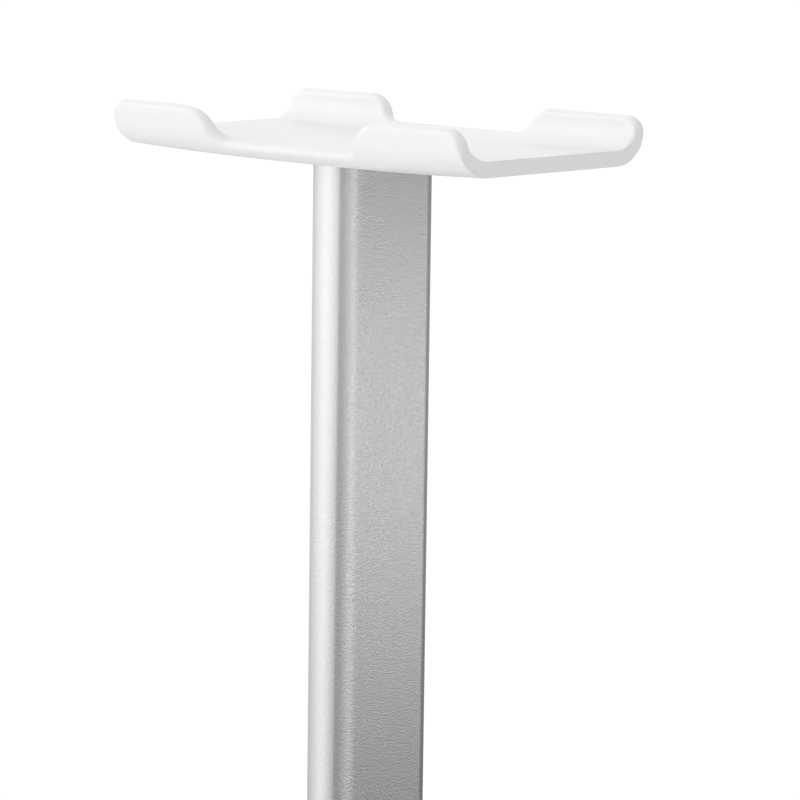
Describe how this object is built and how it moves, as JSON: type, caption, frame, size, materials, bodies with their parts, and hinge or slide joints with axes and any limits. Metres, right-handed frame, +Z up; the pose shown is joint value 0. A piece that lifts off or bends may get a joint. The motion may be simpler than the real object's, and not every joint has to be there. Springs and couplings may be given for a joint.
{
  "type": "headphone stand",
  "caption": "Free-standing headphone hook: a white moulded tray with upturned corner lips on a blasted aluminium post, in a weighted rounded-rectangle base.",
  "frame": {"origin": "centre of the footprint, on the surface the stand stands on", "axes": "+Z up along the post; +X along the tray, the way the headband lies; +Y across the tray"},
  "size_m": [0.125, 0.1, 0.2651],
  "materials": {
    "tray_plastic": "satin white, moulded",
    "post_aluminium": "fine bead-blasted and clear anodised",
    "base_plastic": "satin white, moulded",
    "cover_plastic": "fine moulded texture",
    "ballast_steel": "plain rolled steel",
    "zinc_steel": "zinc plated",
    "foot_rubber": "matt black"
  },
  "bodies": {
    "root": {"headrest_tray": "tray_plastic", "headrest_screw": "zinc_steel", "post": "post_aluminium", "base_shell": "base_plastic", "ballast_plate": "ballast_steel", "base_cover": "cover_plastic", "post_screw_1": "zinc_steel", "post_washer_1": "zinc_steel", "post_screw_2": "zinc_steel", "post_washer_2": "zinc_steel", "ballast_screw_1": "zinc_steel", "cover_screw_1": "zinc_steel", "foot_pad_1": "foot_rubber", "ballast_screw_2": "zinc_steel", "cover_screw_2": "zinc_steel", "foot_pad_2": "foot_rubber", "ballast_screw_3": "zinc_steel", "cover_screw_3": "zinc_steel", "foot_pad_3": "foot_rubber", "ballast_screw_4": "zinc_steel", "cover_screw_4": "zinc_steel", "foot_pad_4": "foot_rubber"}
  },
  "joints": []
}
